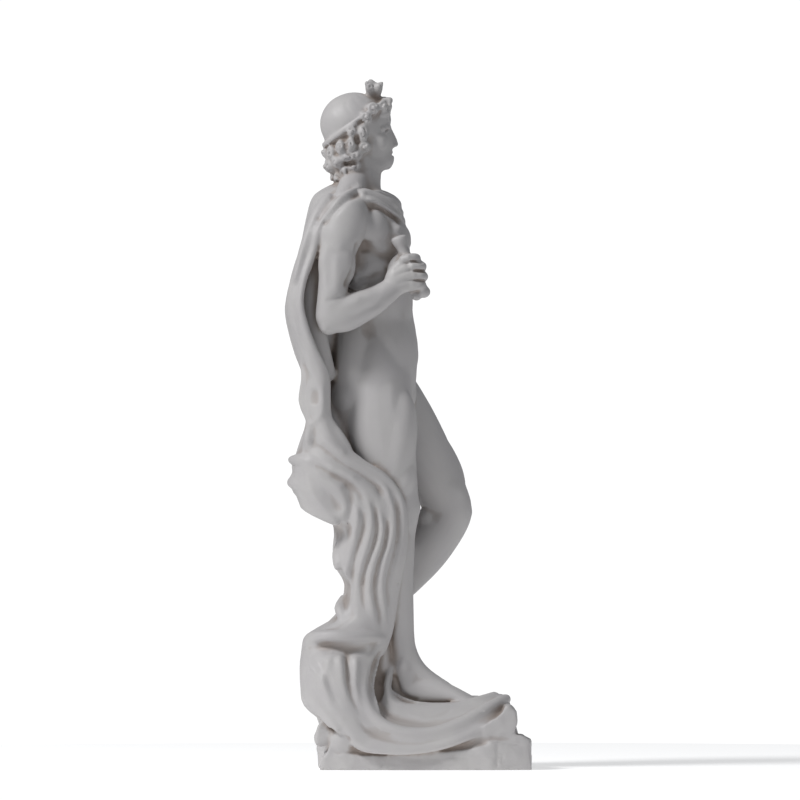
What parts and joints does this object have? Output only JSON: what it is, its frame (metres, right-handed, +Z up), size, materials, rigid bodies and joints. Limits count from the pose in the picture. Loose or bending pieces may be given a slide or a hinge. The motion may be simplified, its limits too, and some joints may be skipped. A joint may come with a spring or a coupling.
{
  "type": "greek god statue",
  "caption": "standing nude young god in a long cloak, one knee bent, a short rod in the raised hand, cast in one piece with a low rock base",
  "frame": {"origin": "the middle of the flat underside of the rock base, at floor level", "axes": "+X is the way the figure faces, +Y its left side and +Z up"},
  "size_m": [0.1078, 0.0842, 0.3002],
  "materials": {
    "cast_marble": "off-white powdered marble bound with resin, satin, faintly warm in the hollows"
  },
  "bodies": {
    "root": {"statue": "cast_marble"}
  },
  "joints": []
}
